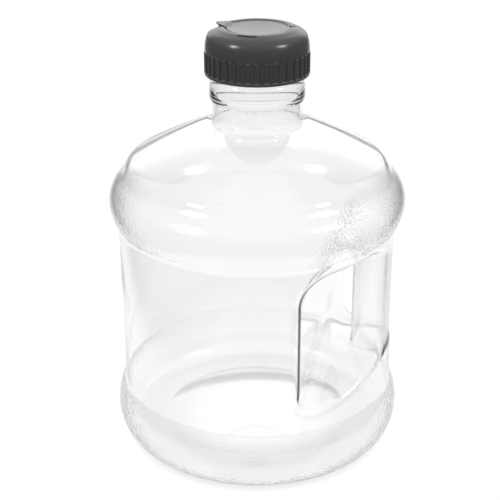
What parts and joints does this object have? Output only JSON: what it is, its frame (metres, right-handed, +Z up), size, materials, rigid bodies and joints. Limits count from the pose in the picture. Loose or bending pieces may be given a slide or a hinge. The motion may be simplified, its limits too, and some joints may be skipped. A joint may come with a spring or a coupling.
{
  "type": "water jug",
  "caption": "Clear round-shouldered water jug with a through handle in its wall, textured bands, a ribbed dark screw cap and a round flip lid with a lift tab.",
  "frame": {"origin": "centre of the base, on the surface the jug stands on", "axes": "+Z up along the neck, +X towards the grip handle, Y across the handle"},
  "size_m": [0.181, 0.181, 0.2634],
  "materials": {
    "clear_bottle": "clear, glossy, with pebbled bands",
    "dark_cap": "satin charcoal",
    "soft_seal": "matt silicone",
    "steel_pin": "ground"
  },
  "bodies": {
    "bottle": {"bottle_body": "clear_bottle"},
    "seal_ring": {"cap_gasket": "soft_seal"},
    "cap": {"screw_cap": "dark_cap", "lid_hinge_pin": "steel_pin"},
    "lid": {"flip_lid": "dark_cap", "lid_stopper": "soft_seal"}
  },
  "joints": [
    {"name": "cap_lift", "type": "slide", "parent": "bottle", "child": "seal_ring", "axis": [0, 0, 1], "range_m": [0, 0.024]},
    {"name": "cap_turn", "type": "hinge", "parent": "seal_ring", "child": "cap", "pos_m": [0, 0, 0.24], "axis": [0, 0, 1], "range_deg": [0, 720]},
    {"name": "lid_flip", "type": "hinge", "parent": "cap", "child": "lid", "pos_m": [0.0188, -0.00198, 0.2608], "axis": [0.1045, 0.9945, 0], "range_deg": [0, 100]}
  ],
  "couplings": [
    {"joint": "cap_lift", "follows": "cap_turn", "m_per_rad": 0.0019099}
  ]
}
